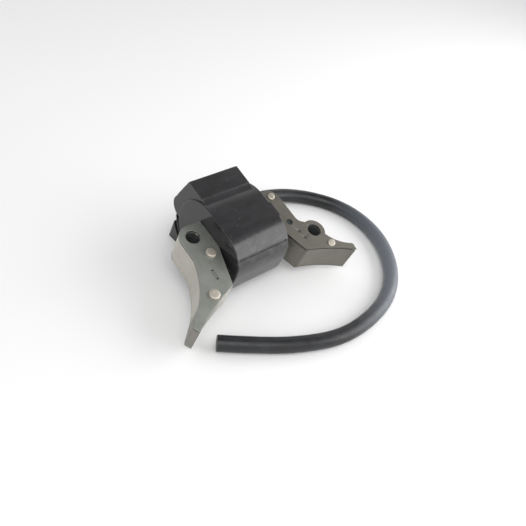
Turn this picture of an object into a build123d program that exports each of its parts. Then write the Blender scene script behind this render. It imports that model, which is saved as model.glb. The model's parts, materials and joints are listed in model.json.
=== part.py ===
from build123d import *
import os
from math import cos, pi, radians, sin, sqrt, tan

# Ignition coil of a small engine: a laminated core with two legs that face the flywheel, a
# moulded coil body around the core's crossbar, and a short high-tension lead.
#
# Two frames are used, in millimetres. The part's own frame stands on Z = 0 as the coil rests
# on a table. The core frame lies in the laminations: X along the crossbar, Y away from the
# flywheel, Z along the rivets, with its zero on the upper face of the legs.

os.makedirs("parts", exist_ok=True)

# ---------------------------------------------------------------- driving dimensions
# core
tilt = 15.5                    # lean of the laminations on the table, rear edge up, degrees
stack = 15.4                   # height of the lamination stack
sheet = 0.7                    # thickness of one lamination
mark_depth = 0.35
flywheel_x, flywheel_y = -8.57, -83.95
flywheel_r = 81.7              # radius of the pole faces
left_inner = -24.95            # inner edges of the two legs
right_inner = 6.55
mount_r = 3.2                  # clearance hole for an M6 bolt
left_hole = (-32.55, 21.69)
right_hole = (22.64, 2.0)
ear_r = 5.55
crossbar_y, crossbar_w = 19.4, 12.4
tongue = 3.4                   # length of the crossbar's press-fit ends inside the legs
# rivets
rivet_r, rivet_head_h = 1.6, 1.3
left_head_r, right_head_r = 2.35, 1.7
rivet_foot_h = 0.5             # the rivets' pressed lower heads are low
crown_r = 0.5
left_rivets = [(-30.07, 11.74), (-40.25, -5.44)]
right_rivets = [(14.41, 25.73), (25.79, -7.43)]
sunk_rivet_at = (13.96, 10.67)
sunk_depth = 0.8
# coil body
body_top, body_bottom = 9.2, -24.6
nose_x, drum_end_x = -24.65, 4.0
block_x0, block_x1 = -23.85, 2.1
tower_x0, tower_x1 = -21.7, 2.1
wall = 1.6
rear_r, rear_y = 16.0, 24.4
foot_r, foot_y = 12.4, 11.0
front_y = -1.4
front_crease = (-0.12, 1.35)
groove_at, groove_r = (1.62, 4.15), 0.45
# coils, outwards from the crossbar
bore_gap, bobbin_wall, primary_t, wrap_t, secondary_t = 0.2, 0.8, 2.0, 0.3, 2.5
coil_x0, coil_x1 = -22.6, 2.2
flange_t = 1.0
sections = 5
# high-tension lead
lead_r, conductor_r = 3.5, 1.1
outlet_y, outlet_height = 42.0, 6.0
outlet_r = 6.0                 # collar round the lead's outlet
heel_y, heel_height = 38.3, 6.0
boot_length, boot_r0, boot_r1 = 14.0, 5.5, 4.3
lead_z = lead_r + 0.05         # height of the lead's centre line on the table

# ---------------------------------------------------------------- frames
lean_s, lean_c = sin(radians(tilt)), cos(radians(tilt))
foot_z = body_bottom + foot_r
core_x, core_y = 9.74, -19.07  # puts the origin under the middle of the coil
core_z = foot_r - (lean_s * foot_y + lean_c * foot_z)
core = Plane(origin=(core_x, core_y, core_z), x_dir=(1, 0, 0), z_dir=(0, -lean_s, lean_c))


def at(x, y, z):
    """A point of the core frame, in the part's own frame."""
    return core.from_local_coords(Vector(x, y, z))


def layer(z):
    """A plane parallel to the laminations."""
    return core.offset(z)


def across(x):
    """A plane square to the crossbar: its own x is the core's Y, its own y is the core's Z."""
    return Plane(origin=at(x, 0, 0), x_dir=core.y_dir, z_dir=core.x_dir)


def pole(x):
    """A point of the pole face's circle, concentric with the flywheel."""
    return (x, flywheel_y + sqrt(flywheel_r**2 - (x - flywheel_x) ** 2))


def save(part, name):
    """Label a finished piece and write it as one STEP file."""
    part.part.label = name
    export_step(part.part, f"parts/{name}.step")


def above_table(y, height):
    """The core frame's Z, at a core Y, of a point this high above the table."""
    return (height - core_z - lean_s * y) / lean_c


outlet_z = above_table(outlet_y, outlet_height)
heel_z = above_table(heel_y, heel_height)

# ---------------------------------------------------------------- core outlines
with BuildSketch(mode=Mode.PRIVATE) as left_leg_outline:
    with BuildLine():
        Line((left_inner, 27.7), (left_inner, 12.5))
        Line((left_inner, 12.5), (-25.5, 11.1))
        Line((-25.5, 11.1), pole(-30.3))
        ThreePointArc(pole(-30.3), pole(-42), pole(-54.3))
        Line(pole(-54.3), (-56.0, -13.4))
        Line((-56.0, -13.4), (-49.6, -7.5))
        ThreePointArc((-49.6, -7.5), (-43.15, 0.5), (-38.45, 11.7))
        Line((-38.45, 11.7), (-38.5, 21.2))
        ThreePointArc((-38.5, 21.2), (-36.7, 25.9), (-32.4, 27.7))
        Line((-32.4, 27.7), (left_inner, 27.7))
    make_face()
    fillet(left_leg_outline.vertices().sort_by(Axis.X)[0], 1.0)

with BuildSketch(mode=Mode.PRIVATE) as right_leg_outline:
    with BuildLine():
        Line((right_inner, 27), (right_inner, 12.5))
        Line((right_inner, 12.5), (7.1, 11.1))
        Line((7.1, 11.1), pole(12.1))
        ThreePointArc(pole(12.1), pole(24), pole(35.9))
        Line(pole(35.9), (36.4, -11.9))
        Line((36.4, -11.9), (35.0, -11.3))
        ThreePointArc((35.0, -11.3), (29.6, -7.1), (26.6, -2.2))
        Line((26.6, -2.2), (21.0, 7.75))
        ThreePointArc((21.0, 7.75), (19.2, 9.2), (18.44, 12.0))
        Line((18.44, 12.0), (18.44, 24.5))
        ThreePointArc((18.44, 24.5), (16.9, 28.25), (13.2, 29.75))
        Line((13.2, 29.75), (9.3, 29.75))
        ThreePointArc((9.3, 29.75), (7.36, 28.95), (right_inner, 27))
    make_face()
    fillet(right_leg_outline.vertices().sort_by(Axis.X)[-1], 1.5)
    with Locations(right_hole):
        Circle(ear_r)


with BuildSketch(mode=Mode.PRIVATE) as left_marks:
    # one long stake mark beside the inner edge
    with Locations((-34.35, 2.6)):
        SlotOverall(5.2, 1.1, rotation=86)

with BuildSketch(mode=Mode.PRIVATE) as right_marks:
    # two round stake marks between the bolt hole and the inner edge
    with Locations((15.16, 4.53), (15.54, 0.58)):
        Circle(0.65)


def leg(outline, hole, rivets, low, height, notch_x=None, marks=None):
    """A stretch of a leg's stack, drilled for its bolt and rivets, notched for the crossbar."""
    with BuildPart() as piece:
        with BuildSketch(layer(low)):
            add(outline.sketch)
            with Locations(hole):
                Circle(mount_r, mode=Mode.SUBTRACT)
            with Locations(*rivets):
                Circle(rivet_r, mode=Mode.SUBTRACT)
            if notch_x is not None:
                with Locations((notch_x, crossbar_y)):
                    Rectangle(tongue, crossbar_w, mode=Mode.SUBTRACT)
        extrude(amount=height)
        if marks is not None:
            with BuildSketch(layer(low + height)):
                add(marks.sketch)
            extrude(amount=-mark_depth, mode=Mode.SUBTRACT)
    return piece


# ---------------------------------------------------------------- core
leg_sides = {
    "left": (left_leg_outline, left_hole, left_rivets),
    "right": (right_leg_outline, right_hole, right_rivets + [sunk_rivet_at]),
}
notches = {"left": left_inner - tongue / 2, "right": right_inner + tongue / 2}
stake_marks = {"left": left_marks, "right": right_marks}
inner_stack = stack - 2 * sheet
for side, drawing in leg_sides.items():
    save(leg(*drawing, -stack, sheet), f"{side}_leg_bottom_sheet")
    save(leg(*drawing, sheet - stack, inner_stack, notches[side]), f"{side}_leg_laminations")
    save(leg(*drawing, -sheet, sheet, marks=stake_marks[side]), f"{side}_leg_top_sheet")

with BuildPart() as crossbar_laminations:
    with BuildSketch(layer(-stack + sheet)):
        with Locations(((left_inner + right_inner) / 2, crossbar_y)):
            Rectangle(right_inner - left_inner + 2 * tongue, crossbar_w)
    extrude(amount=inner_stack)
save(crossbar_laminations, "crossbar_laminations")

with BuildPart() as core_rivets:
    with BuildSketch(layer(-stack - rivet_foot_h)):
        with Locations(*left_rivets, *right_rivets):
            Circle(rivet_r)
    extrude(amount=stack + rivet_foot_h + rivet_head_h)
    for low, height in ((0, rivet_head_h), (-stack - rivet_foot_h, rivet_foot_h)):
        with BuildSketch(layer(low)):
            with Locations(*left_rivets):
                Circle(left_head_r)
            with Locations(*right_rivets):
                Circle(right_head_r)
        extrude(amount=height)
    crowns = core_rivets.edges().filter_by(GeomType.CIRCLE)
    upper = crowns.group_by(lambda edge: round(core.to_local_coords(edge.center()).Z, 2))[-1]
    fillet(upper, crown_r)
save(core_rivets, "core_rivets")

with BuildPart() as sunk_rivet:
    with BuildSketch(layer(-stack + sunk_depth)):
        with Locations(sunk_rivet_at):
            Circle(rivet_r)
    extrude(amount=stack - 2 * sunk_depth)
save(sunk_rivet, "sunk_rivet")


# ---------------------------------------------------------------- coil body sections
def drum_face():
    """The drum's section: flat top and bottom, round shoulders, nearly upright front."""
    shoulder = rear_r / sqrt(2)
    rear_high, rear_low = body_top - rear_r, body_bottom + rear_r
    heel = foot_r / sqrt(2)
    with BuildSketch(mode=Mode.PRIVATE) as section:
        with BuildLine():
            Line((12.3, body_top), (rear_y, body_top))
            ThreePointArc(
                (rear_y, body_top),
                (rear_y + shoulder, rear_high + shoulder),
                (rear_y + rear_r, rear_high),
            )
            Line((rear_y + rear_r, rear_high), (rear_y + rear_r, rear_low))
            ThreePointArc(
                (rear_y + rear_r, rear_low),
                (rear_y + shoulder, rear_low - shoulder),
                (rear_y, body_bottom),
            )
            Line((rear_y, body_bottom), (foot_y, body_bottom))
            ThreePointArc((foot_y, body_bottom), (foot_y - heel, foot_z - heel), (front_y, foot_z))
            Line((front_y, foot_z), (front_y, -5.5))
            ThreePointArc((front_y, -5.5), (-1.05, -2.2), front_crease)
            Line(front_crease, groove_at)
            ThreePointArc(groove_at, (5.6, 7.55), (12.3, body_top))
        make_face()
    return section.sketch


def block_face():
    """The electronics block behind the drum, with a shallow valley where the two meet."""
    with BuildSketch(mode=Mode.PRIVATE) as section:
        with BuildLine():
            Polyline(
                (43.0, -13.6), (26.0, -13.6), (24.4, 9.2), (26.5, 9.0), (27.4, 8.65), (30.8, 8.7),
                (31.8, 9.3), (42.0, 9.4), (44.9, -0.4), (46.2, -5.3),
            )
            ThreePointArc((46.2, -5.3), (46.0, -11.2), (43.0, -13.6))
        make_face()
    return section.sketch


def tower_face():
    """The outlet tower below the block, with a round heel towards the drum."""
    heel = outlet_r / sqrt(2)
    with BuildSketch(mode=Mode.PRIVATE) as section:
        with BuildLine():
            Polyline(
                (heel_y, heel_z - outlet_r), (44.3, heel_z - outlet_r - 4), (44.3, -12.0),
                (28.0, -12.0), (28.0, heel_z + 2), (heel_y - outlet_r, heel_z),
            )
            ThreePointArc(
                (heel_y - outlet_r, heel_z),
                (heel_y - heel, heel_z - heel),
                (heel_y, heel_z - outlet_r),
            )
        make_face()
    return section.sketch


def prism(section, x0, x1):
    """A body section carried along the crossbar."""
    with BuildPart(mode=Mode.PRIVATE) as piece:
        with BuildSketch(across(x0)):
            add(section)
        extrude(amount=x1 - x0)
    return piece.part


def tube(x0, x1, half_y, half_z, corner, bore_y, bore_z, bore_corner):
    """A rounded rectangular sleeve around the crossbar."""
    with BuildPart(mode=Mode.PRIVATE) as piece:
        with BuildSketch(across(x0)):
            with Locations((crossbar_y, -stack / 2)):
                RectangleRounded(2 * half_y, 2 * half_z, corner)
                RectangleRounded(2 * bore_y, 2 * bore_z, bore_corner, mode=Mode.SUBTRACT)
        extrude(amount=x1 - x0)
    return piece.part


def rod(x0, x1, y, z, radius):
    """A round bar along the crossbar's direction."""
    with BuildPart(mode=Mode.PRIVATE) as piece:
        with BuildSketch(across(x0)):
            with Locations((y, z)):
                Circle(radius)
        extrude(amount=x1 - x0)
    return piece.part


def grown(section, amount):
    """The same section, with its outline moved out, or in where the amount is negative."""
    return offset(section, amount, kind=Kind.INTERSECTION, mode=Mode.PRIVATE)


# ---------------------------------------------------------------- coils
bore_y, bore_z = crossbar_w / 2 + bore_gap, stack / 2 + bore_gap
tube_y, tube_z = bore_y + bobbin_wall, bore_z + bobbin_wall
primary_y, primary_z = tube_y + primary_t, tube_z + primary_t
wrap_y, wrap_z = primary_y + wrap_t, primary_z + wrap_t
second_y, second_z = wrap_y + bobbin_wall, wrap_z + bobbin_wall
outer_y, outer_z = second_y + secondary_t, second_z + secondary_t

with BuildPart() as primary_bobbin:
    add(tube(nose_x, drum_end_x + 0.7, tube_y, tube_z, 1.0, bore_y, bore_z, 0.3))
    for x in (coil_x0, coil_x1 - flange_t):
        add(tube(x, x + flange_t, primary_y, primary_z, 2.0, bore_y, bore_z, 0.3))
save(primary_bobbin, "primary_bobbin")

winding_x0, winding_x1 = coil_x0 + flange_t, coil_x1 - flange_t
with BuildPart() as primary_winding:
    add(tube(winding_x0, winding_x1, primary_y, primary_z, 2.0, tube_y, tube_z, 1.0))
save(primary_winding, "primary_winding")

with BuildPart() as insulating_wrap:
    add(tube(coil_x0, coil_x1, wrap_y, wrap_z, 2.3, primary_y, primary_z, 2.0))
save(insulating_wrap, "insulating_wrap")

section_pitch = (coil_x1 - coil_x0 - flange_t) / sections
with BuildPart() as secondary_bobbin:
    add(tube(coil_x0, coil_x1, second_y, second_z, 3.0, wrap_y, wrap_z, 2.3))
    for i in range(sections + 1):
        x = coil_x0 + i * section_pitch
        add(tube(x, x + flange_t, outer_y, outer_z, 4.0, wrap_y, wrap_z, 2.3))
save(secondary_bobbin, "secondary_bobbin")

with BuildPart() as secondary_winding:
    for i in range(sections):
        x = coil_x0 + i * section_pitch
        wound_y, wound_z = outer_y - 0.5, outer_z - 0.5
        add(tube(x + flange_t, x + section_pitch, wound_y, wound_z, 3.5, second_y, second_z, 3.0))
save(secondary_winding, "secondary_winding")

# ---------------------------------------------------------------- electronics
board_y, board_t = 38.0, 1.2
board_x0, board_x1, board_z0, board_z1 = -21.0, -1.0, -9.5, 6.5


def upright(y):
    """A plane parallel to the circuit board: its own x is the core's X, its y the core's Z."""
    return Plane(origin=at(0, y, 0), x_dir=core.x_dir, z_dir=-core.y_dir)


with BuildPart() as circuit_board:
    with BuildSketch(upright(board_y + board_t)):
        with Locations(((board_x0 + board_x1) / 2, (board_z0 + board_z1) / 2)):
            RectangleRounded(board_x1 - board_x0, board_z1 - board_z0, 1.0)
    extrude(amount=board_t)
save(circuit_board, "circuit_board")

with BuildPart() as power_transistor:
    with BuildSketch(upright(board_y)):
        with Locations((-6.6, 2.6)):
            Rectangle(8.0, 6.0)
    extrude(amount=1.0)
    with BuildSketch(upright(board_y - 1.0)):
        with Locations((-6.6, 1.9)):
            Rectangle(8.0, 4.6)
    extrude(amount=1.4)
save(power_transistor, "power_transistor")

with BuildPart() as driver_transistor:
    with BuildSketch(upright(board_y)):
        with Locations((-16.0, 3.0)):
            Circle(2.2)
        with Locations((-16.0, 0.6)):
            Rectangle(5.0, 2.4, mode=Mode.SUBTRACT)
    extrude(amount=2.2)
save(driver_transistor, "driver_transistor")

with BuildPart() as resistors:
    for z in (-3.0, -6.0):
        add(rod(-18.5, -12.5, board_y - 1.05, z, 1.0))
save(resistors, "resistors")

with BuildPart() as clamp_diode:
    add(rod(-9.5, -4.5, board_y - 1.35, -5.0, 1.3))
save(clamp_diode, "clamp_diode")

with BuildPart() as primary_wires:
    # two wires rise from the start flange and run back to the board's lower edge
    for x in (-19.6, -2.4):
        with BuildSketch(upright(board_y + board_t / 2)):
            with Locations((x, -9.9)):
                Circle(0.4)
        extrude(amount=board_y + board_t / 2 - crossbar_y - outer_y)
save(primary_wires, "primary_wires")

# ---------------------------------------------------------------- lead's seated end
washer_x, washer_t, washer_r = -13.0, 1.5, 2.5
lead_inner_x = washer_x + washer_t
spike_r, spike_length, spike_point = 0.8, 6.5, 0.5
spike_x1 = lead_inner_x + spike_length
with BuildPart() as terminal_spike:
    add(rod(washer_x, lead_inner_x, outlet_y, outlet_z, washer_r))
    add(rod(lead_inner_x, spike_x1, outlet_y, outlet_z, spike_r))
    chamfer(terminal_spike.edges().group_by(Axis.X)[-1], spike_point)
save(terminal_spike, "terminal_spike")

boot_x1 = tower_x1 + boot_length
with BuildPart() as lead_seated_end:
    add(rod(lead_inner_x, boot_x1, outlet_y, outlet_z, lead_r))
    add(rod(lead_inner_x, boot_x1, outlet_y, outlet_z, conductor_r), mode=Mode.SUBTRACT)
save(lead_seated_end, "lead_seated_end")

with BuildPart() as conductor_seated_end:
    add(rod(spike_x1 + 0.2, boot_x1, outlet_y, outlet_z, conductor_r))
save(conductor_seated_end, "conductor_seated_end")

# flex grooves around the boot
flex_grooves, flex_start, flex_pitch, flex_w, flex_depth = 3, 4.0, 3.0, 1.0, 0.6
with BuildPart() as lead_boot:
    with BuildSketch(across(tower_x1)):
        with Locations((outlet_y, outlet_z)):
            Circle(boot_r0)
    with BuildSketch(across(boot_x1)):
        with Locations((outlet_y, outlet_z)):
            Circle(boot_r1)
    loft()
    add(rod(tower_x1, boot_x1, outlet_y, outlet_z, lead_r), mode=Mode.SUBTRACT)
    for i in range(flex_grooves):
        x = tower_x1 + flex_start + flex_pitch * i
        groove_floor = boot_r0 - (boot_r0 - boot_r1) * (x - tower_x1) / boot_length - flex_depth
        with BuildPart(mode=Mode.PRIVATE) as groove:
            add(rod(x, x + flex_w, outlet_y, outlet_z, boot_r0 + 1))
            add(rod(x, x + flex_w, outlet_y, outlet_z, groove_floor), mode=Mode.SUBTRACT)
        add(groove.part, mode=Mode.SUBTRACT)
save(lead_boot, "lead_boot")

feed_x, feed_bend, feed_r = -12.2, 2.0, 0.35
with BuildPart() as feed_wire:
    # from the spike's washer up the tower and forward to the secondary's rear face
    with BuildLine():
        FilletPolyline(
            at(feed_x, outlet_y, outlet_z + washer_r),
            at(feed_x, outlet_y, -17.0),
            at(feed_x, crossbar_y + outer_y, -13.0),
            radius=feed_bend,
        )
    with BuildSketch(layer(outlet_z + washer_r)):
        with Locations((feed_x, outlet_y)):
            Circle(feed_r)
    sweep()
save(feed_wire, "feed_wire")

# ---------------------------------------------------------------- housing and potting
tab_y, tab_w, tab_x, tab_h = 15.35, 7.7, 0.7, 0.9
ring_depth = 3.0
rib_inner, rib_outer, channel_edge = 5.5, 6.3, 8.4    # outwards from the drum


def bobbin_passage():
    """The way through both end walls for the primary bobbin's tube."""
    with BuildPart(mode=Mode.PRIVATE) as passage:
        with BuildSketch(across(nose_x - 1)):
            with Locations((crossbar_y, -stack / 2)):
                RectangleRounded(2 * tube_y, 2 * tube_z, 1.0)
        extrude(amount=drum_end_x - nose_x + 2)
    return passage.part


with BuildPart() as cavity:
    # room for the coils, open through the flat underside
    add(prism(grown(drum_face(), -wall), nose_x + wall, drum_end_x - wall))
    with BuildSketch(layer(body_bottom - 1)):
        with Locations(((nose_x + drum_end_x) / 2, 20.0)):
            RectangleRounded(drum_end_x - nose_x - 2 * wall, 15.0, 1.5)
    extrude(amount=wall + 2)
    # room for the circuit board
    with BuildSketch(across(block_x0 + wall)):
        Polygon((28.0, 7.2), (41.0, 7.6), (44.2, -4.4), (43.6, -11.6), (28.0, -11.6), align=None)
    extrude(amount=block_x1 - block_x0 - 2 * wall)
    # shaft down the tower to the lead's inner end
    with BuildSketch(across(-13.0)):
        with Locations((outlet_y, outlet_z)):
            Circle(4.2)
        Polygon((37.0, -11.0), (42.7, -11.0), (42.7, outlet_z), (37.0, outlet_z), align=None)
    extrude(amount=5.0)

with BuildPart() as tower:
    add(prism(tower_face(), tower_x0, tower_x1))
    # two shallow channels and a rib between them follow the drum's edge
    with BuildSketch(across(tower_x0)):
        add(grown(drum_face(), channel_edge))
        add(grown(drum_face(), rib_outer), mode=Mode.SUBTRACT)
        add(grown(drum_face(), rib_inner))
        add(drum_face(), mode=Mode.SUBTRACT)
    extrude(amount=ring_depth, mode=Mode.SUBTRACT)

with BuildPart() as module_housing:
    add(prism(drum_face(), nose_x, drum_end_x))
    add(prism(block_face(), block_x0, block_x1))
    add(tower.part)
    add(rod(-14.6, tower_x1, outlet_y, outlet_z, outlet_r))
    # small lip over the right leg, at the drum's end
    with BuildSketch(layer(body_top - tab_h)):
        with Locations((drum_end_x + tab_x / 2, tab_y)):
            Rectangle(tab_x, tab_w)
    extrude(amount=tab_h)
    # parting groove along the drum's front shoulder
    add(rod(nose_x + 1.2, drum_end_x - 1.2, *groove_at, groove_r), mode=Mode.SUBTRACT)
    # the tower stops at the table
    split(bisect_by=Plane.XY, keep=Keep.TOP)
    add(cavity.part, mode=Mode.SUBTRACT)
    add(bobbin_passage(), mode=Mode.SUBTRACT)
    add(rod(lead_inner_x, tower_x1 + 1, outlet_y, outlet_z, lead_r), mode=Mode.SUBTRACT)
save(module_housing, "module_housing")

potted = [
    primary_bobbin, primary_winding, insulating_wrap, secondary_bobbin, secondary_winding,
    circuit_board, power_transistor, driver_transistor, resistors, clamp_diode, primary_wires,
    feed_wire, terminal_spike, lead_seated_end,
]
with BuildPart() as potting_fill:
    add(cavity.part)
    # the fill stops a little inside the underside's opening
    with BuildSketch(layer(body_bottom + 0.8)):
        Rectangle(200, 200)
    extrude(amount=-10, mode=Mode.SUBTRACT)
    add(bobbin_passage(), mode=Mode.SUBTRACT)
    for piece in potted:
        add(piece.part, mode=Mode.SUBTRACT)
save(potting_fill, "potting_fill")

# ---------------------------------------------------------------- high-tension lead
exit_point = at(boot_x1, outlet_y, outlet_z)
lead_points = [
    (exit_point.X, exit_point.Y, exit_point.Z),
    (38.8, exit_point.Y, exit_point.Z),
    (53.4, 26.7, 4.6),
    (66.9, 18.9, lead_z),
    (76.9, 5.4, lead_z),
    (80.2, -10.9, lead_z),
    (76.4, -28.4, lead_z),
    (65.2, -44.9, lead_z),
    (49.7, -56.1, lead_z),
    (31.7, -61.1, lead_z),
    (11.7, -61.4, lead_z),
    (-6.3, -54.4, lead_z),
    (-21.3, -45.1, lead_z),
    (-35.0, -34.7, lead_z),
]
corners = [Vector(*point) for point in lead_points]
runs = [after - before for before, after in zip(corners, corners[1:])]
radii = []
for before, after in zip(runs, runs[1:]):
    half_turn = radians(before.get_angle(after) / 2)
    radii.append(0.45 * min(before.length, after.length) / tan(half_turn))
print("lead radii", [round(r, 1) for r in radii])

with BuildLine() as lead_path:
    FilletPolyline(*corners, radius=radii)
lead_line = lead_path.wires()[0]
print("lead length", round(lead_line.length, 1))
lead_start = Plane(origin=corners[0], z_dir=runs[0])

with BuildPart() as lead_conductor:
    with BuildSketch(lead_start):
        Circle(conductor_r)
    sweep(path=lead_line)
save(lead_conductor, "lead_conductor")

with BuildPart() as lead_jacket:
    with BuildSketch(lead_start):
        Circle(lead_r)
        Circle(conductor_r, mode=Mode.SUBTRACT)
    sweep(path=lead_line)
save(lead_jacket, "lead_jacket")
section = pi * (lead_r**2 - conductor_r**2)
print("jacket volume over section times length", lead_jacket.part.volume / (section * lead_line.length))
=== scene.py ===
"""An engine's ignition coil: the visual pieces, materials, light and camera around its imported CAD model."""

import json
import random
from math import cos, hypot, pi, radians, sin

import bmesh
import bpy
from mathutils import Matrix, Vector


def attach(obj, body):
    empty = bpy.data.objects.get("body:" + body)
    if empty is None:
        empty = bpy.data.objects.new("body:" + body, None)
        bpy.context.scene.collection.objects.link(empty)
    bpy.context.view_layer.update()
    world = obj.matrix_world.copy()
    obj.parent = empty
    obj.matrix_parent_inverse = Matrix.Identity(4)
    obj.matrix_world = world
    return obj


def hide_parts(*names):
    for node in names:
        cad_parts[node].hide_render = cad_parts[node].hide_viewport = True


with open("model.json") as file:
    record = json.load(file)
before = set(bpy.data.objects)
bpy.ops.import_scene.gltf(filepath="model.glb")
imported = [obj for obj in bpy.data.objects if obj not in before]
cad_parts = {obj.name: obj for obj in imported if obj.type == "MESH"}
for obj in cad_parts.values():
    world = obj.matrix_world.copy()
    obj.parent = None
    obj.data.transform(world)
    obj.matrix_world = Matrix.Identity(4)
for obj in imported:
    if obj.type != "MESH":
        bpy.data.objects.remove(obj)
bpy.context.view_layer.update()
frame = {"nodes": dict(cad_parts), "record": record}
MM = 0.001

# ---------------------------------------------------------------- frames
# The core frame lies in the laminations, in millimetres: X along the crossbar, Y away from the
# flywheel, Z along the rivets, with zero on the legs' upper faces.
LEFT_HOLE = (-32.55, 21.69)
RIGHT_HOLE = (22.64, 2.0)
STACK = 15.4    # how tall the laminations are with both outer sheets
SHEET = 0.7
LEAD_R = 3.5


def core_frame():
    """The core frame's matrix, from the left mounting hole, whose place is the stack's middle."""
    mount = next(m for m in frame["record"]["mounts"] if m["name"] == "left_mounting_hole")
    normal = Vector(mount["axis"]).normalized()
    across = Vector((1, 0, 0))
    turn = Matrix((across, normal.cross(across), normal)).transposed()
    middle = turn @ Vector((*LEFT_HOLE, -STACK / 2)) * MM
    shift = Matrix.Translation(Vector(mount["pos_m"]) - middle)
    return shift @ turn.to_4x4() @ Matrix.Scale(MM, 4)


CORE = core_frame()
LEAN = CORE.to_euler().x


# ---------------------------------------------------------------- camera
def camera():
    """The photograph's viewpoint, above and in front of the left leg."""
    right = Vector((0.747715, -0.643399, 0.164196))
    up = Vector((0.354226, 0.595639, 0.720929))
    data = bpy.data.cameras.new("camera")
    data.lens, data.sensor_width = 41.065, 36.0
    data.clip_start, data.clip_end = 0.01, 20
    made = bpy.data.objects.new("camera", data)
    turn = Matrix((right, up, right.cross(up))).transposed()
    place = Vector((-0.145128, -0.143476, 0.192251))
    made.matrix_world = Matrix.Translation(place) @ turn.to_4x4()
    bpy.context.scene.collection.objects.link(made)
    bpy.context.scene.camera = made


camera()


# ---------------------------------------------------------------- shader helpers
def shader(name, color, roughness, metallic=0.0):
    """A new material with a Principled shader set to these values."""
    made = bpy.data.materials.new(name)
    made.use_nodes = True
    principled = made.node_tree.nodes["Principled BSDF"]
    principled.inputs["Base Color"].default_value = (*color, 1)
    principled.inputs["Roughness"].default_value = roughness
    principled.inputs["Metallic"].default_value = metallic
    return made


def node(made, kind, *linked, **settings):
    """A new node, its first sockets fed by these outputs. A capital marks a socket's value."""
    new = made.node_tree.nodes.new("ShaderNode" + kind)
    for key, value in settings.items():
        if key[0].isupper():
            new.inputs[key.replace("_", " ")].default_value = value
        else:
            setattr(new, key, value)
    for output, socket in zip(linked, new.inputs):
        made.node_tree.links.new(output, socket)
    return new


def feed(made, output, socket):
    """Drives one socket of a material's Principled shader."""
    principled = made.node_tree.nodes["Principled BSDF"]
    made.node_tree.links.new(output, principled.inputs[socket])


def places(made, size, stretch=(1, 1, 1), seed=0.0):
    """Coordinates along the core's axes, where 1 is this many millimetres."""
    here = node(made, "TexCoord").outputs["Object"]
    upright = node(made, "VectorRotate", here, rotation_type="X_AXIS", Angle=-LEAN)
    scale = [1 / (MM * size * s) for s in stretch]
    return node(made, "Mapping", upright.outputs[0], Scale=scale, Location=[seed] * 3).outputs[0]


def noise(made, size, stretch=(1, 1, 1), detail=3.0, seed=0.0):
    """A noise with blobs of about this many millimetres."""
    at = places(made, size, stretch, seed)
    return node(made, "TexNoise", at, Detail=detail, Scale=1.0).outputs["Fac"]


def rearward(made):
    """Millimetres from the part's origin, along the core's Y."""
    return node(made, "SeparateXYZ", places(made, 1.0)).outputs["Y"]


def dots(made, pitch, radius, seed=0.0):
    """1 inside small round dots, at random places about this far apart, in millimetres."""
    at = places(made, pitch, seed=seed)
    far = node(made, "TexVoronoi", at, Scale=1.0).outputs["Distance"]
    edge = radius / pitch
    return spread(made, far, 0.6 * edge, edge, 1.0, 0.0)


def spread(made, factor, low, high, to_low, to_high):
    """A number that goes from to_low to to_high as the factor goes from low to high."""
    ends = {"From_Min": low, "From_Max": high, "To_Min": to_low, "To_Max": to_high}
    return node(made, "MapRange", factor, **ends).outputs["Result"]


def blend(made, factor, one, other):
    """A colour between two: each is a colour or an output."""
    new = node(made, "Mix", data_type="RGBA")
    # a Mix node's colours are its inputs 6 and 7, and its output 2
    made.node_tree.links.new(factor, new.inputs["Factor"])
    for socket, value in ((new.inputs[6], one), (new.inputs[7], other)):
        if isinstance(value, bpy.types.NodeSocket):
            made.node_tree.links.new(value, socket)
        else:
            socket.default_value = (*value, 1)
    return new.outputs[2]


def relief(made, height, depth, strength=1.0):
    """Raises the surface by a height factor, where 1 stands this many millimetres proud."""
    new = node(made, "Bump", Strength=strength, Distance=depth * MM)
    made.node_tree.links.new(height, new.inputs["Height"])
    feed(made, new.outputs[0], "Normal")


# ---------------------------------------------------------------- materials
def moulded_plastic():
    """Black glass-filled plastic, glossy: faint flow marks, dust, and smudges on its front."""
    smudged_to, clean_from = -8, -3    # the smudges fade out between these, rearwards
    made = shader("moulded_plastic", (0.02, 0.02, 0.022), 0.15)
    flow = spread(made, noise(made, 5.0, (3, 1, 1), detail=4), 0.35, 0.65, 0, 1)
    base = blend(made, flow, (0.017, 0.017, 0.018), (0.026, 0.026, 0.028))
    front = spread(made, rearward(made), smudged_to, clean_from, 1, 0)
    haze = spread(made, noise(made, 2.6, detail=6, seed=12.0), 0.48, 0.66, 0, 1)
    smudge = node(made, "Math", front, haze, operation="MULTIPLY").outputs[0]
    base = blend(made, smudge, base, (0.042, 0.042, 0.044))
    base = blend(made, dots(made, 2.2, 0.14, seed=3.0), base, (0.22, 0.22, 0.22))
    base = blend(made, dots(made, 5.3, 0.2, seed=8.0), base, (0.006, 0.006, 0.007))
    feed(made, base, "Base Color")
    feed(made, spread(made, noise(made, 2.2, detail=5, seed=5.0), 0.35, 0.7, 0.11, 0.22), "Roughness")
    relief(made, noise(made, 3.0, detail=1), 0.006)
    return made


def potting_resin():
    """Cast resin, glossy where it is level and a little uneven."""
    made = shader("potting_resin", (0.02, 0.02, 0.022), 0.18)
    feed(made, blend(made, noise(made, 3.0), (0.014, 0.014, 0.016), (0.032, 0.031, 0.03)), "Base Color")
    feed(made, spread(made, noise(made, 2.0, seed=4.0), 0.3, 0.7, 0.12, 0.3), "Roughness")
    relief(made, noise(made, 6.0, detail=2), 0.12)
    return made


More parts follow.
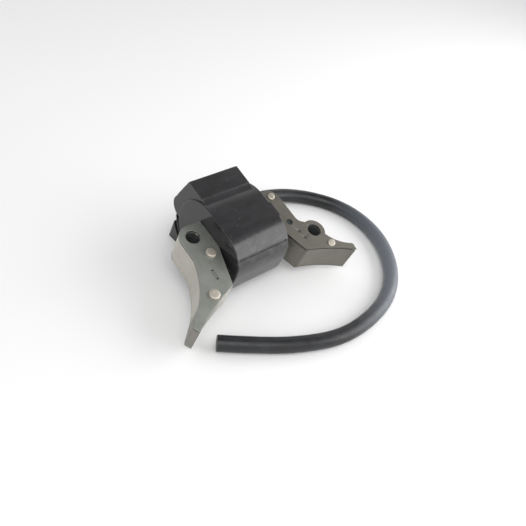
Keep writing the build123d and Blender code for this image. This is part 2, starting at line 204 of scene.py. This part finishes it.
def coated_sheet(name, light, dark):
    """Steel sheet with a dull grey coating, finely grained, with faint stains."""
    made = shader(name, light, 0.45, metallic=0.75)
    stain = spread(made, noise(made, 6.0, detail=5), 0.3, 0.7, 0, 1)
    base = blend(made, stain, dark, light)
    grain = spread(made, noise(made, 0.22, detail=2, seed=2.0), 0.35, 0.65, 0, 0.35)
    feed(made, blend(made, grain, base, tuple(0.72 * c for c in light)), "Base Color")
    feed(made, spread(made, noise(made, 1.2, seed=7.0), 0.3, 0.7, 0.38, 0.52), "Roughness")
    relief(made, noise(made, 0.12, detail=2), 0.006)
    return made


def sheet_edges(name, light, dark, front_shade=0.0):
    """Cut edges of the laminations: each sheet has its own tone, with streaks down the stack.

    The last argument darkens the front end of the leg with painted shade.
    """
    unshaded_to, shaded_from = -18, -21
    made = shader(name, light, 0.4, metallic=0.8)
    streak = spread(made, noise(made, 0.5, (1, 1, 12), detail=4), 0.3, 0.7, 0, 1)
    layers = spread(made, noise(made, SHEET, (40, 40, 1), detail=0, seed=1.0), 0.35, 0.65, 0, 1)
    base = blend(made, streak, dark, light)
    base = blend(made, layers, base, tuple(0.8 * c for c in light))
    # painted shade: darker towards the leg's front end
    end = spread(made, rearward(made), unshaded_to, shaded_from, 0, front_shade)
    feed(made, blend(made, end, base, (0.06, 0.055, 0.05)), "Base Color")
    feed(made, spread(made, streak, 0, 1, 0.34, 0.5), "Roughness")
    relief(made, noise(made, 0.3, (1, 1, 6), detail=3, seed=3.0), 0.02)
    return made


def hollow_shade():
    """Painted shade for hollows, dark and dull: the walls of drilled holes, the stake marks' floors and the
    sunk rivet.
    """
    made = shader("hollow_shade", (0.012, 0.013, 0.012), 0.85)
    streak = noise(made, 0.8, (1, 1, 4))
    feed(made, blend(made, streak, (0.045, 0.048, 0.047), (0.07, 0.075, 0.073)), "Base Color")
    made.node_tree.nodes["Principled BSDF"].inputs["Specular IOR Level"].default_value = 0.1
    return made


def rivet_metal():
    """Nickel-silver coloured rivet, peened, with a warm cast."""
    made = shader("rivet_metal", (0.75, 0.68, 0.58), 0.5, metallic=0.85)
    tone = noise(made, 0.9, detail=4)
    feed(made, blend(made, tone, (0.4, 0.36, 0.31), (0.56, 0.52, 0.45)), "Base Color")
    feed(made, spread(made, noise(made, 0.5, seed=6.0), 0.3, 0.7, 0.42, 0.6), "Roughness")
    relief(made, noise(made, 0.9, detail=3, seed=2.0), 0.03)
    return made


def lead_rubber():
    """Dark grey rubber with smears and specks, and a bluish bloom towards the lead's right, brightened with
    painted light.
    """
    slope, bloom_and_light_from, bloom_and_light_to = -0.8, 66, 95    # the bloom and its painted light grow with X + slope * Y
    made = shader("lead_rubber", (0.03, 0.031, 0.034), 0.4)
    smear = spread(made, noise(made, 9.0, detail=4), 0.42, 0.7, 0, 0.8)
    base = blend(made, smear, (0.008, 0.0085, 0.01), (0.02, 0.0215, 0.025))
    split = node(made, "SeparateXYZ", places(made, 1.0))
    outward = node(made, "Math", split.outputs["Y"], operation="MULTIPLY_ADD")
    outward.inputs[1].default_value = slope
    made.node_tree.links.new(split.outputs["X"], outward.inputs[2])
    bloom_and_light = spread(made, outward.outputs[0], bloom_and_light_from, bloom_and_light_to, 0, 0.85)
    # painted light on the lead's right side, over a bluish bloom
    base = blend(made, bloom_and_light, base, (0.125, 0.138, 0.16))
    feed(made, blend(made, dots(made, 2.6, 0.13, seed=2.0), base, (0.16, 0.17, 0.18)), "Base Color")
    feed(made, spread(made, noise(made, 3.5, detail=5, seed=9.0), 0.3, 0.7, 0.28, 0.5), "Roughness")
    relief(made, noise(made, 0.8, detail=4), 0.03)
    return made


def plain(name, light, dark, roughness, size=1.0, metallic=0.0, depth=0.01):
    """A simple mottled finish for the pieces inside."""
    made = shader(name, light, roughness, metallic=metallic)
    feed(made, blend(made, noise(made, size), dark, light), "Base Color")
    low, high = 0.8 * roughness, min(1.2 * roughness, 1.0)
    feed(made, spread(made, noise(made, 0.7 * size, seed=4.0), 0.3, 0.7, low, high), "Roughness")
    relief(made, noise(made, 0.4 * size, seed=1.0), depth)
    return made


def wound_wire():
    """Enamelled copper turns side by side along the crossbar."""
    made = shader("wound_wire", (0.55, 0.2, 0.06), 0.3, metallic=0.9)
    at = places(made, 0.9)
    bands = {"wave_type": "BANDS", "bands_direction": "X", "Scale": 1.0, "Distortion": 0.3}
    turns = node(made, "TexWave", at, **bands).outputs["Fac"]
    feed(made, blend(made, turns, (0.2, 0.06, 0.02), (0.62, 0.25, 0.09)), "Base Color")
    relief(made, turns, 0.06)
    return made


FINISH = {
    "housing": moulded_plastic(),
    "potting": potting_resin(),
    "zinc_sheet": coated_sheet("coated_sheet", (0.32, 0.332, 0.304), (0.27, 0.28, 0.256)),
    # the left leg's sheet edges, with painted shade at their front end
    "lamination": sheet_edges("sheet_edges", (0.6, 0.575, 0.52), (0.42, 0.4, 0.355), front_shade=0.6),
    "rivet": rivet_metal(),
    "rubber": lead_rubber(),
    "copper": wound_wire(),
    "bobbin": plain("bobbin_nylon", (0.03, 0.03, 0.032), (0.02, 0.02, 0.021), 0.4, size=3.0),
    "wrap": plain("wrap_film", (0.62, 0.42, 0.14), (0.5, 0.32, 0.09), 0.25, size=4.0),
    "board": plain("board_mask", (0.02, 0.12, 0.05), (0.012, 0.08, 0.03), 0.35, size=2.0),
    "component": plain("component_body", (0.03, 0.03, 0.03), (0.018, 0.018, 0.018), 0.45, size=0.6),
    "resistor": plain("resistor_lacquer", (0.4, 0.25, 0.1), (0.3, 0.18, 0.07), 0.3),
    "tinned": plain("tinned_strand", (0.62, 0.62, 0.6), (0.45, 0.45, 0.44), 0.3, size=0.5, metallic=1.0),
    "spike": plain("spike_brass", (0.6, 0.42, 0.16), (0.48, 0.32, 0.12), 0.3, metallic=1.0),
}
HOLLOW_SHADE = hollow_shade()
CUT_RUBBER = plain("cut_rubber", (0.16, 0.165, 0.15), (0.1, 0.103, 0.095), 0.75, size=0.8, depth=0.03)
PLATE = {
    "left": FINISH["zinc_sheet"],
    "right": coated_sheet("browned_sheet", (0.17, 0.161, 0.138), (0.142, 0.135, 0.115)),
}
EDGES = {
    "left": FINISH["lamination"],
    # the right leg's sheet edges: the left's colour darkened as painted shade, as this leg gets less light
    "right": sheet_edges("shaded_right_edges", (0.225, 0.212, 0.186), (0.15, 0.142, 0.12)),
}


# ---------------------------------------------------------------- CAD nodes that keep their shape
for part in frame["record"]["subparts"]:
    frame["nodes"][part["node"]].data.materials[0] = FINISH[part["material_slot"]]


# ---------------------------------------------------------------- mesh helpers
def shown(name, bm, finishes, place=CORE, crease=35):
    """An object made of a mesh in millimetres, sharp along edges that turn more than the crease."""
    bm.transform(place)
    bmesh.ops.recalc_face_normals(bm, faces=bm.faces)
    data = bpy.data.meshes.new(name)
    bm.to_mesh(data)
    bm.free()
    data.shade_smooth()
    data.set_sharp_from_angle(angle=radians(crease))
    for finish in finishes:
        data.materials.append(finish)
    made = bpy.data.objects.new(name, data)
    bpy.context.scene.collection.objects.link(made)
    made.modifiers.new("even_faces", "WEIGHTED_NORMAL").keep_sharp = True
    return made


def stands_for(made, slot, *nodes):
    """The piece rides on the coil, and replaces these CAD nodes."""
    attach(made, "root")
    if nodes:
        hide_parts(*nodes)


def cad_mesh(name):
    """A CAD node's mesh in the core frame, with its corners joined."""
    bm = bmesh.new()
    bm.from_mesh(frame["nodes"][name].data)
    bm.transform(CORE.inverted())
    bmesh.ops.remove_doubles(bm, verts=bm.verts, dist=0.001)
    return bm


def footprint(name):
    """The flat underside of a CAD sheet or stack, facing down."""
    bm = cad_mesh(name)
    low = min(v.co.z for v in bm.verts)
    others = [f for f in bm.faces if max(v.co.z for v in f.verts) > low + 0.01]
    bmesh.ops.delete(bm, geom=others, context="FACES")
    return bm


def rims(bm, level=None):
    """Edges that lie level and turn more than a radian, or only those of them at one height."""
    found = []
    for edge in bm.edges:
        low, high = sorted(v.co.z for v in edge.verts)
        flat = high - low < 0.001 and (level is None or abs(low - level) < 0.01)
        if flat and edge.is_manifold and edge.calc_face_angle() > 1:
            found.append(edge)
    return found


def worn(bm, edges, width, segments=1):
    """Rounds these edges."""
    bmesh.ops.bevel(
        bm, geom=edges, offset=width, segments=segments, affect="EDGES", profile=0.5, clamp_overlap=False
    )


def merged(target, other, shift=(0, 0, 0)):
    """Adds another mesh to a mesh, and frees it."""
    other.transform(Matrix.Translation(shift))
    data = bpy.data.meshes.new("merged")
    other.to_mesh(data)
    other.free()
    target.from_mesh(data)
    bpy.data.meshes.remove(data)


def is_level(face):
    """Whether a face lies about level in the core frame."""
    return abs(face.normal.z) > 0.9


def darkened(bm, hole, radius):
    """Gives the wall of a round hole the second finish, its painted shade."""
    for face in bm.faces:
        middle = face.calc_center_median()
        near = hypot(middle.x - hole[0], middle.y - hole[1]) < radius
        if near and not is_level(face):
            face.material_index = 1


# ---------------------------------------------------------------- solids from YZ sections
def arc(centre, radius, start, end, steps=12):
    """Points on a circle of the core's YZ plane, from one angle to another, in degrees."""
    turns = [radians(start + (end - start) * i / steps) for i in range(steps + 1)]
    return [(centre[0] + radius * cos(a), centre[1] + radius * sin(a)) for a in turns]


def bow(a, b, c, steps=10):
    """Points of the circle through three points, from the first to the last."""
    (ax, ay), (bx, by), (cx, cy) = a, b, c
    d = 2 * (ax * (by - cy) + bx * (cy - ay) + cx * (ay - by))
    aa, bb, cc = ax * ax + ay * ay, bx * bx + by * by, cx * cx + cy * cy
    ux = (aa * (by - cy) + bb * (cy - ay) + cc * (ay - by)) / d
    uy = (aa * (cx - bx) + bb * (ax - cx) + cc * (bx - ax)) / d
    start, end = (Vector((p[0] - ux, p[1] - uy)) for p in (a, c))
    turn = start.angle_signed(end)
    return [
        (ux + p.x, uy + p.y)
        for p in (Matrix.Rotation(-turn * i / steps, 2) @ start for i in range(steps + 1))
    ]


def tidy_outline(points):
    """The outline without repeated points."""
    kept = [points[0]]
    for y, z in points[1:]:
        if hypot(y - kept[-1][0], z - kept[-1][1]) > 0.02:
            kept.append((y, z))
    if hypot(kept[0][0] - kept[-1][0], kept[0][1] - kept[-1][1]) < 0.02:
        kept.pop()
    return kept


def offset(outline, amount):
    """The outline moved outwards, or inwards where the amount is negative."""
    area = sum(
        y0 * z1 - y1 * z0 for (y0, z0), (y1, z1) in zip(outline, outline[1:] + outline[:1])
    )
    side = amount if area > 0 else -amount
    moved = []
    for i, here in enumerate(outline):
        before, after = Vector(outline[i - 1]), Vector(outline[(i + 1) % len(outline)])
        point = Vector(here)
        one, two = (point - before).normalized(), (after - point).normalized()
        out_one, out_two = Vector((one.y, -one.x)), Vector((two.y, -two.x))
        reach = side / max(0.3, 1 + out_one.dot(out_two))
        moved.append(tuple(point + (out_one + out_two) * reach))
    return moved


def prism(outline, x0, x1, round_r=0.0, steps=6):
    """A solid with this section along the crossbar, its two end rims rounded."""
    bm = bmesh.new()
    if round_r:
        turns = [i / steps * pi / 2 for i in range(steps + 1)]
        stations = [(round_r * (1 - cos(a)), round_r * (1 - sin(a))) for a in turns]
    else:
        stations = [(0.0, 0.0)]
    levels = [(x0 + along, inset) for along, inset in stations]
    levels += [(x1 - along, inset) for along, inset in reversed(stations)]
    rings = []
    for x, inset in levels:
        ring = offset(outline, -inset) if inset else outline
        rings.append([bm.verts.new((x, y, z)) for y, z in ring])
    for ring, following in zip(rings, rings[1:]):
        for i in range(len(ring)):
            bm.faces.new((ring[i - 1], ring[i], following[i], following[i - 1]))
    bm.faces.new(rings[0])
    bm.faces.new(reversed(rings[-1]))
    bmesh.ops.recalc_face_normals(bm, faces=bm.faces)
    return bm


def rod(x0, x1, y, z, radius, round_r=0.0):
    """A round bar along the crossbar."""
    return prism(arc((y, z), radius, 0, 352.5, 47), x0, x1, round_r)


def box_outline(y, z, half_y, half_z, radius):
    """A rounded rectangle of the core's YZ plane."""
    outline = []
    for sy, sz, start in ((1, 1, 0), (-1, 1, 90), (-1, -1, 180), (1, -1, 270)):
        centre = (y + sy * (half_y - radius), z + sz * (half_z - radius))
        outline += arc(centre, radius, start, start + 90, 6)
    return outline


def combined(base, steps):
    """One solid, from a first one and a list of (operation, solid)."""
    holder = bpy.data.objects.new("combining", as_data(base))
    bpy.context.scene.collection.objects.link(holder)
    for operation, solid in steps:
        tool = bpy.data.objects.new("tool", as_data(solid))
        bpy.context.scene.collection.objects.link(tool)
        cut = holder.modifiers.new("cut", "BOOLEAN")
        cut.operation, cut.object, cut.solver = operation, tool, "EXACT"
        bpy.context.view_layer.update()
        result = bpy.data.meshes.new_from_object(
            holder.evaluated_get(bpy.context.evaluated_depsgraph_get())
        )
        holder.modifiers.clear()
        holder.data = result
        bpy.data.objects.remove(tool)
    bm = bmesh.new()
    bm.from_mesh(holder.data)
    bpy.data.objects.remove(holder)
    return bm


def as_data(bm):
    """Mesh data made of a mesh, which is freed."""
    data = bpy.data.meshes.new("solid")
    bm.to_mesh(data)
    bm.free()
    return data


def above_table(bm):
    """Cuts a solid off just above the table."""
    up = (CORE.to_3x3().transposed() @ Vector((0, 0, 1))).normalized()
    origin = CORE.inverted() @ Vector((0, 0, 0.01 * MM))
    geometry = bm.verts[:] + bm.edges[:] + bm.faces[:]
    cut = bmesh.ops.bisect_plane(
        bm, geom=geometry, plane_co=origin, plane_no=up, clear_inner=True, dist=1e-5
    )
    rim = [g for g in cut["geom_cut"] if isinstance(g, bmesh.types.BMEdge)]
    bmesh.ops.edgeloop_fill(bm, edges=rim)
    bmesh.ops.recalc_face_normals(bm, faces=bm.faces)
    return bm


# ---------------------------------------------------------------- core
LEAF_GAP = 0.05
LEAF_SIZE = 0.998    # of the CAD outline, so that no sheet stands proud of it
LEAF_DRIFT = 0.02    # how far a sheet may lie out of line
LEAF_RIM = 0.05
PLATE_RIM = 0.1
BORE_REACH = 3.2 + 0.3    # takes in a bolt hole's wall and its rounded rims
LOW_HEAD = 0.5    # the height of the rivets' lower heads
LEFT_HEAD_R, RIGHT_HEAD_R = 2.35, 1.7


def lamination_stack(side, hole, seed):
    """A leg's inner laminations, each a sheet of its own, a little out of line."""
    dice = random.Random(seed)
    flat = footprint(f"{side}_leg_laminations")
    stack = bmesh.new()
    count = round((STACK - 2 * SHEET) / SHEET)
    for i in range(count):
        leaf = flat.copy()
        bmesh.ops.solidify(leaf, geom=leaf.faces[:], thickness=-(SHEET - LEAF_GAP))
        bmesh.ops.recalc_face_normals(leaf, faces=leaf.faces)
        worn(leaf, rims(leaf), LEAF_RIM)
        middle = sum((v.co for v in leaf.verts), Vector()) / len(leaf.verts)
        for vert in leaf.verts:
            vert.co.xy = middle.xy + (vert.co.xy - middle.xy) * LEAF_SIZE
        drift = [dice.uniform(-LEAF_DRIFT, LEAF_DRIFT) for axis in "xy"]
        merged(stack, leaf, (*drift, i * SHEET))
    flat.free()
    bmesh.ops.recalc_face_normals(stack, faces=stack.faces)
    darkened(stack, hole, BORE_REACH)
    made = shown(f"{side}_leg_sheets", stack, [EDGES[side], HOLLOW_SHADE])
    stands_for(made, "lamination", f"{side}_leg_laminations")


def outer_plate(side, level, hole):
    """A coated outer sheet, its punched rim rounded, its hole and its stake marks dark with painted shade."""
    pit_low, pit_high = -0.5, -0.2    # the floors of the stake marks lie between these heights
    bm = cad_mesh(f"{side}_leg_{level}_sheet")
    bmesh.ops.recalc_face_normals(bm, faces=bm.faces)
    outermost = max if level == "top" else min
    worn(bm, rims(bm, outermost(v.co.z for v in bm.verts)), PLATE_RIM, 2)
    darkened(bm, hole, BORE_REACH)
    if level == "top":
        # painted shade on the floors of the stake marks
        for face in bm.faces:
            if is_level(face) and pit_low < face.calc_center_median().z < pit_high:
                face.material_index = 1
    if (side, level) == ("left", "top"):
        merged(bm, staked_tab())
    made = shown(f"{side}_leg_{level}_plate", bm, [PLATE[side], HOLLOW_SHADE])
    stands_for(made, "zinc_sheet", f"{side}_leg_{level}_sheet")


def staked_tab():
    """The strip between the two pits of the left plate's long stake mark."""
    length, width, height = 3.3, 0.62, 0.4
    middle, turn, rim = (-34.35, 2.6, -0.27), radians(86), 0.08
    bm = bmesh.new()
    bmesh.ops.create_cube(bm, size=1)
    bm.transform(Matrix.Diagonal((length, width, height, 1)))
    worn(bm, bm.edges[:], rim)
    bm.transform(Matrix.Translation(middle) @ Matrix.Rotation(turn, 4, "Z"))
    return bm


def turned(profile, steps=48):
    """A solid turned about Z, from (radius, height) points: a closed loop, or one that ends on the axis."""
    bm = bmesh.new()
    verts = [bm.verts.new((r, 0, z)) for r, z in profile]
    edges = [bm.edges.new(pair) for pair in zip(verts, verts[1:])]
    bmesh.ops.spin(bm, geom=verts + edges, cent=(0, 0, 0), axis=(0, 0, 1), angle=2 * pi, steps=steps)
    bmesh.ops.remove_doubles(bm, verts=bm.verts, dist=0.0005)
    return bm


def rivet(name, at, rim, slant, cleft=None):
    """A rivet, its upper head peened a little out of level.

    The slant is the head's rise along X and Y. A cleft across it has an angle and an offset.
    """
    crown, shank = 1.3, 1.6
    head = [(rim, 0), (rim, 0.72 * crown), (rim - 0.1, 0.88 * crown), (rim - 0.3, 0.97 * crown)]
    head += [(0.55 * rim, crown), (0, 0.985 * crown)]
    low = -STACK - LOW_HEAD
    foot = [(0, low), (rim - 0.1, low), (rim, low + 0.1), (rim, -STACK), (shank, -STACK), (shank, 0)]
    bm = turned(foot + head)
    for vert in bm.verts:
        if vert.co.z > 0.5 * crown:
            vert.co.z += slant[0] * vert.co.x + slant[1] * vert.co.y - hypot(*slant) * rim
    if cleft:
        angle, aside = cleft
        half_width, depth, corner = 0.2, 0.75, 0.1
        groove = prism(box_outline(0, crown, half_width, depth, corner), -2 * rim, 2 * rim)
        turn = Matrix.Rotation(radians(angle), 4, "Z")
        groove.transform(turn @ Matrix.Translation((0, aside, 0)))
        bm = combined(bm, [("DIFFERENCE", groove)])
    bm.transform(Matrix.Translation((*at, 0)))
    stands_for(shown(name, bm, [FINISH["rivet"]]), "rivet", "core_rivets")


for side, hole, seed in (("left", LEFT_HOLE, 4), ("right", RIGHT_HOLE, 9)):
    lamination_stack(side, hole, seed)
    for level in ("top", "bottom"):
        outer_plate(side, level, hole)
# the sunk rivet's head, deep in its recess, takes the painted shade
frame["nodes"]["sunk_rivet"].data.materials[0] = HOLLOW_SHADE
rivet("left_rear_rivet", (-30.07, 11.74), LEFT_HEAD_R, (0.02, -0.01))
rivet("left_front_rivet", (-40.25, -5.44), LEFT_HEAD_R, (0.0, 0.02))
rivet("right_rear_rivet", (14.41, 25.73), RIGHT_HEAD_R, (0.2, 0.1), (100, 0.35))
rivet("right_front_rivet", (25.79, -7.43), RIGHT_HEAD_R, (0.25, 0.15), (120, 0.9))


# ---------------------------------------------------------------- coil body
NOSE_X, DRUM_X = -24.65, 4.0
BLOCK_X = (-23.85, 2.1)
TOWER_X = (-21.7, 2.1)
OUTLET = (42.0, -27.44)
OUTLET_X = -14.6    # where the lead's round sleeve starts inside the tower
OUTLET_R = 5.99    # a hair inside the CAD's 6 mm
SEAT_X = -11.5    # how deep the lead sits
WALL = 1.6
GROOVE = (1.62, 4.15)    # the parting groove along the drum's front
GROOVE_R = 0.45
GROOVE_END = 1.2    # how far short of the drum's ends the groove stops
RIB_INNER, RIB_OUTER, CHANNEL_EDGE = 5.5, 6.3, 8.4    # outwards from the drum
CHANNEL_DEPTH = 3


def drum_outline():
    """The drum's section, from the front of its flat top, round the rear, back up the front."""
    rear = arc((24.4, -6.8), 16.0, 90, 0, 20) + arc((24.4, -8.6), 16.0, 0, -90, 20)
    foot = arc((11.0, -12.2), 12.4, -90, -180, 16)
    front = bow((-1.4, -5.5), (-1.15, -2.0), (-0.45, 1.55), 8)
    shoulder = bow(GROOVE, (5.6, 7.55), (12.3, 9.2), 16)
    return tidy_outline(rear + foot + front + shoulder)


def block_outline():
    """The electronics block's section, with the shallow valley in front of it."""
    floor = [(43.0, -13.6), (26.0, -13.6), (24.4, 9.2), (26.5, 9.0), (27.4, 8.65)]
    floor += bow((28.6, 8.66), (30.5, 8.83), (31.9, 9.3), 6)
    rear = arc((41.3, 8.6), 0.8, 90, 17, 5) + [(44.9, -0.4)]
    return tidy_outline(floor + rear + bow((46.2, -5.3), (46.0, -11.2), (43.0, -13.6), 8))


def tower_outline():
    """The outlet tower's section. It goes on below the table, where it is cut off."""
    foot = [(38.3, -32.4), (44.3, -36.4), (44.3, -12.0), (28.0, -12.0), (28.0, -24.4)]
    return tidy_outline(foot + arc((38.3, -26.4), 6.0, 180, 270, 10))


def housing():
    """The moulded body: drum, block and tower in one, with its cavities and its open underside."""
    drum = drum_outline()
    lip = box_outline(15.35, 8.75, 3.85, 0.44, 0.15)
    crossbar_window = box_outline(19.4, -7.7, 7.2, 8.7, 1.0)
    steps = [
        ("UNION", prism(block_outline(), *BLOCK_X, 0.35)),
        ("UNION", above_table(ringed_tower(drum))),
        ("UNION", rod(OUTLET_X, TOWER_X[1], *OUTLET, OUTLET_R, 0.3)),
        ("UNION", prism(lip, DRUM_X - 0.5, DRUM_X + 0.7, 0.15)),
        ("DIFFERENCE", rod(NOSE_X + GROOVE_END, DRUM_X - GROOVE_END, *GROOVE, GROOVE_R, 0.2)),
        ("DIFFERENCE", prism(offset(drum, -WALL), NOSE_X + WALL, DRUM_X - WALL)),
        ("DIFFERENCE", opening()),
        ("DIFFERENCE", prism(board_room(), BLOCK_X[0] + WALL, BLOCK_X[1] - WALL)),
        ("DIFFERENCE", prism(crossbar_window, NOSE_X - 1, DRUM_X + 1)),
        ("DIFFERENCE", rod(SEAT_X, TOWER_X[1] + 1, *OUTLET, LEAD_R)),
    ]
    body = combined(prism(drum, NOSE_X, DRUM_X, 0.4), steps)
    bmesh.ops.remove_doubles(body, verts=body.verts, dist=0.002)
    made = shown("housing", body, [FINISH["housing"]], crease=19)
    stands_for(made, "housing", "module_housing")


def ringed_tower(drum):
    """The tower, with two channels and a rib that follow the drum's edge on its left face."""
    x0, x1 = TOWER_X
    floor_x = x0 + CHANNEL_DEPTH
    trims = [
        ("DIFFERENCE", prism(offset(drum, RIB_INNER), x0 - 1, floor_x)),
        ("INTERSECT", prism(offset(tower_outline(), -0.01), x0 - 1, floor_x + 2)),
    ]
    rib = combined(prism(offset(drum, RIB_OUTER), x0, floor_x + 0.5, 0.2), trims)
    channels = prism(offset(drum, CHANNEL_EDGE), x0 - 1, floor_x)
    tower = prism(tower_outline(), x0, x1, 0.3)
    return combined(tower, [("DIFFERENCE", channels), ("UNION", rib)])


def opening():
    """The way into the cavity through the flat underside."""
    outline = [(12.5, -27.0), (27.5, -27.0), (27.5, -20.0), (12.5, -20.0)]
    return prism(outline, NOSE_X + WALL, DRUM_X - WALL)


def board_room():
    """The section of the space for the circuit board, behind the drum."""
    return [(28.0, 7.2), (41.0, 7.6), (44.2, -4.4), (43.6, -11.6), (28.0, -11.6)]


housing()


# ---------------------------------------------------------------- lead
# the lead's route from the boot to its cut end, as it lies on the table
LEAD_ROUTE = [
    (25.84, 28.735, 6.0), (38.8, 28.735, 6.0), (53.4, 26.7, 4.6), (66.9, 18.9, 3.55),
    (76.9, 5.4, 3.55), (80.2, -10.9, 3.55), (76.4, -28.4, 3.55), (65.2, -44.9, 3.55),
    (49.7, -56.1, 3.55), (31.7, -61.1, 3.55), (11.7, -61.4, 3.55), (-6.3, -54.4, 3.55),
    (-21.3, -45.1, 3.55), (-35.0, -34.7, 3.55),
]
BOOT_GROOVES = (4.0, 7.0, 10.0)    # where the boot's flex grooves start


def lead():
    """The rubber jacket, a free cord from the boot to its cut end."""
    data = bpy.data.curves.new("lead", "CURVE")
    data.dimensions = "3D"
    line = data.splines.new("NURBS")
    line.points.add(len(LEAD_ROUTE) - 1)
    for point, (x, y, z) in zip(line.points, LEAD_ROUTE):
        point.co = (x * MM, y * MM, z * MM, 1)
    line.order_u = 3
    line.use_endpoint_u = True
    line.resolution_u = 16
    data.bevel_depth = LEAD_R * MM
    data.bevel_resolution = 10
    made = bpy.data.objects.new("lead", data)
    bpy.context.scene.collection.objects.link(made)
    made.data.materials.append(FINISH["rubber"])
    return made


def at_cut():
    """The frame of the lead's cut end, in metres per millimetre, with Z out of the face."""
    before, end = (Vector(p) for p in LEAD_ROUTE[-2:])
    turn = (end - before).to_track_quat("Z", "Y").to_matrix().to_4x4()
    return Matrix.Translation(end * MM) @ turn @ Matrix.Scale(MM, 4)


def cut_face():
    """The jacket's cut face, a little hollow, with a hole for the conductor."""
    hole, rim = 1.25, LEAD_R - 0.1
    floor_z, back_z = -1.6, -2.0
    inner = [(0, floor_z), (hole, floor_z), (hole, -0.35), (hole + 0.3, -0.2)]
    outer = [(rim - 0.5, -0.02), (rim - 0.1, 0.0), (rim, -0.1), (rim, back_z), (0, back_z)]
    made = shown("lead_cut_face", turned(inner + outer), [CUT_RUBBER], place=at_cut())
    stands_for(made, "rubber")
    return made


def strands():
    """The conductor's seven strands, cut off inside the jacket."""
    strand_r, root_z, tip_z = 0.36, -1.5, -0.42
    profile = [(0, root_z), (strand_r, root_z), (strand_r, tip_z - 0.1)]
    profile += [(0.7 * strand_r, tip_z - 0.03), (0, tip_z)]
    bundle = bmesh.new()
    for i in range(7):
        strand = turned(profile, 16)
        ring = 0 if i == 6 else 2.05 * strand_r    # the last strand is the middle one
        merged(bundle, strand, (ring * cos(i * pi / 3), ring * sin(i * pi / 3), 0.03 * (i % 3)))
    made = shown("lead_strands", bundle, [FINISH["tinned"]], place=at_cut())
    stands_for(made, "tinned")
    return made


def boot():
    """The tapered rubber boot at the tower, ringed with flex grooves, the lead's seat inside it."""
    length, root_r, tip_r = 14.0, 5.5, 4.3
    seat_r, groove_depth, groove_w = LEAD_R, 0.6, 1.0
    profile = [(seat_r, 0), (root_r - 0.3, 0), (root_r, 0.3)]
    for start in BOOT_GROOVES:
        for along, cut in ((0, 0), (0.25, 0.8), (0.5, 1), (0.75, 0.8), (1, 0)):
            at = start + along * groove_w
            profile.append((root_r - (root_r - tip_r) * at / length - cut * groove_depth, at))
    profile += [(tip_r, length - 0.4), (tip_r - 0.35, length), (seat_r, length), (seat_r, 0)]
    place = CORE @ Matrix.Translation((TOWER_X[1], *OUTLET)) @ Matrix.Rotation(pi / 2, 4, "Y")
    made = shown("boot", turned(profile), [FINISH["rubber"]], place=place)
    stands_for(made, "rubber", "lead_boot")


boot()
jacket = lead()
stands_for(jacket, "rubber", "lead_jacket", "lead_conductor")
cut_face()
strands()


# ---------------------------------------------------------------- floor and light
def floor():
    """A pale table top, wide enough to fill every view."""
    bm = bmesh.new()
    bmesh.ops.create_grid(bm, x_segments=2, y_segments=2, size=3.0)
    data = bpy.data.meshes.new("floor")
    bm.to_mesh(data)
    made = bpy.data.objects.new("floor", data)
    made.data.materials.append(shader("floor_paint", (0.86, 0.86, 0.86), 0.9))
    bpy.context.scene.collection.objects.link(made)


def sky():
    """A studio whose low walls are bright and whose ceiling is dim."""
    bright_to, dim_from = 0.66, 0.84    # heights in the sky's Generated coordinates
    bright, dim = 1.0, 0.25
    world = bpy.data.worlds.new("studio")
    world.use_nodes = True
    nodes, links = world.node_tree.nodes, world.node_tree.links
    where = nodes.new("ShaderNodeTexCoord")
    split = nodes.new("ShaderNodeSeparateXYZ")
    fall = nodes.new("ShaderNodeMapRange")
    fall.interpolation_type = "SMOOTHSTEP"
    ends = {"From Min": bright_to, "From Max": dim_from, "To Min": bright, "To Max": dim}
    for socket, value in ends.items():
        fall.inputs[socket].default_value = value
    links.new(where.outputs["Generated"], split.inputs[0])
    links.new(split.outputs["Z"], fall.inputs["Value"])
    links.new(fall.outputs["Result"], nodes["Background"].inputs["Strength"])
    nodes["Background"].inputs["Color"].default_value = (1, 1, 1, 1)
    bpy.context.scene.world = world


def lamp(name, place, width, height, power):
    """A softbox that faces the object."""
    data = bpy.data.lights.new(name, "AREA")
    data.shape, data.size, data.size_y, data.energy = "RECTANGLE", width, height, power
    made = bpy.data.objects.new(name, data)
    made.location = place
    made.rotation_euler = (-Vector(place)).to_track_quat("-Z", "Y").to_euler()
    bpy.context.scene.collection.objects.link(made)


floor()
sky()
lamp("front_softbox", (0.294, -0.246, 0.171), 0.54, 0.36, 1.55)
lamp("key_softbox", (-0.3, -0.35, 0.75), 0.6, 0.6, 3.1)
bpy.context.scene.view_settings.view_transform = "Standard"
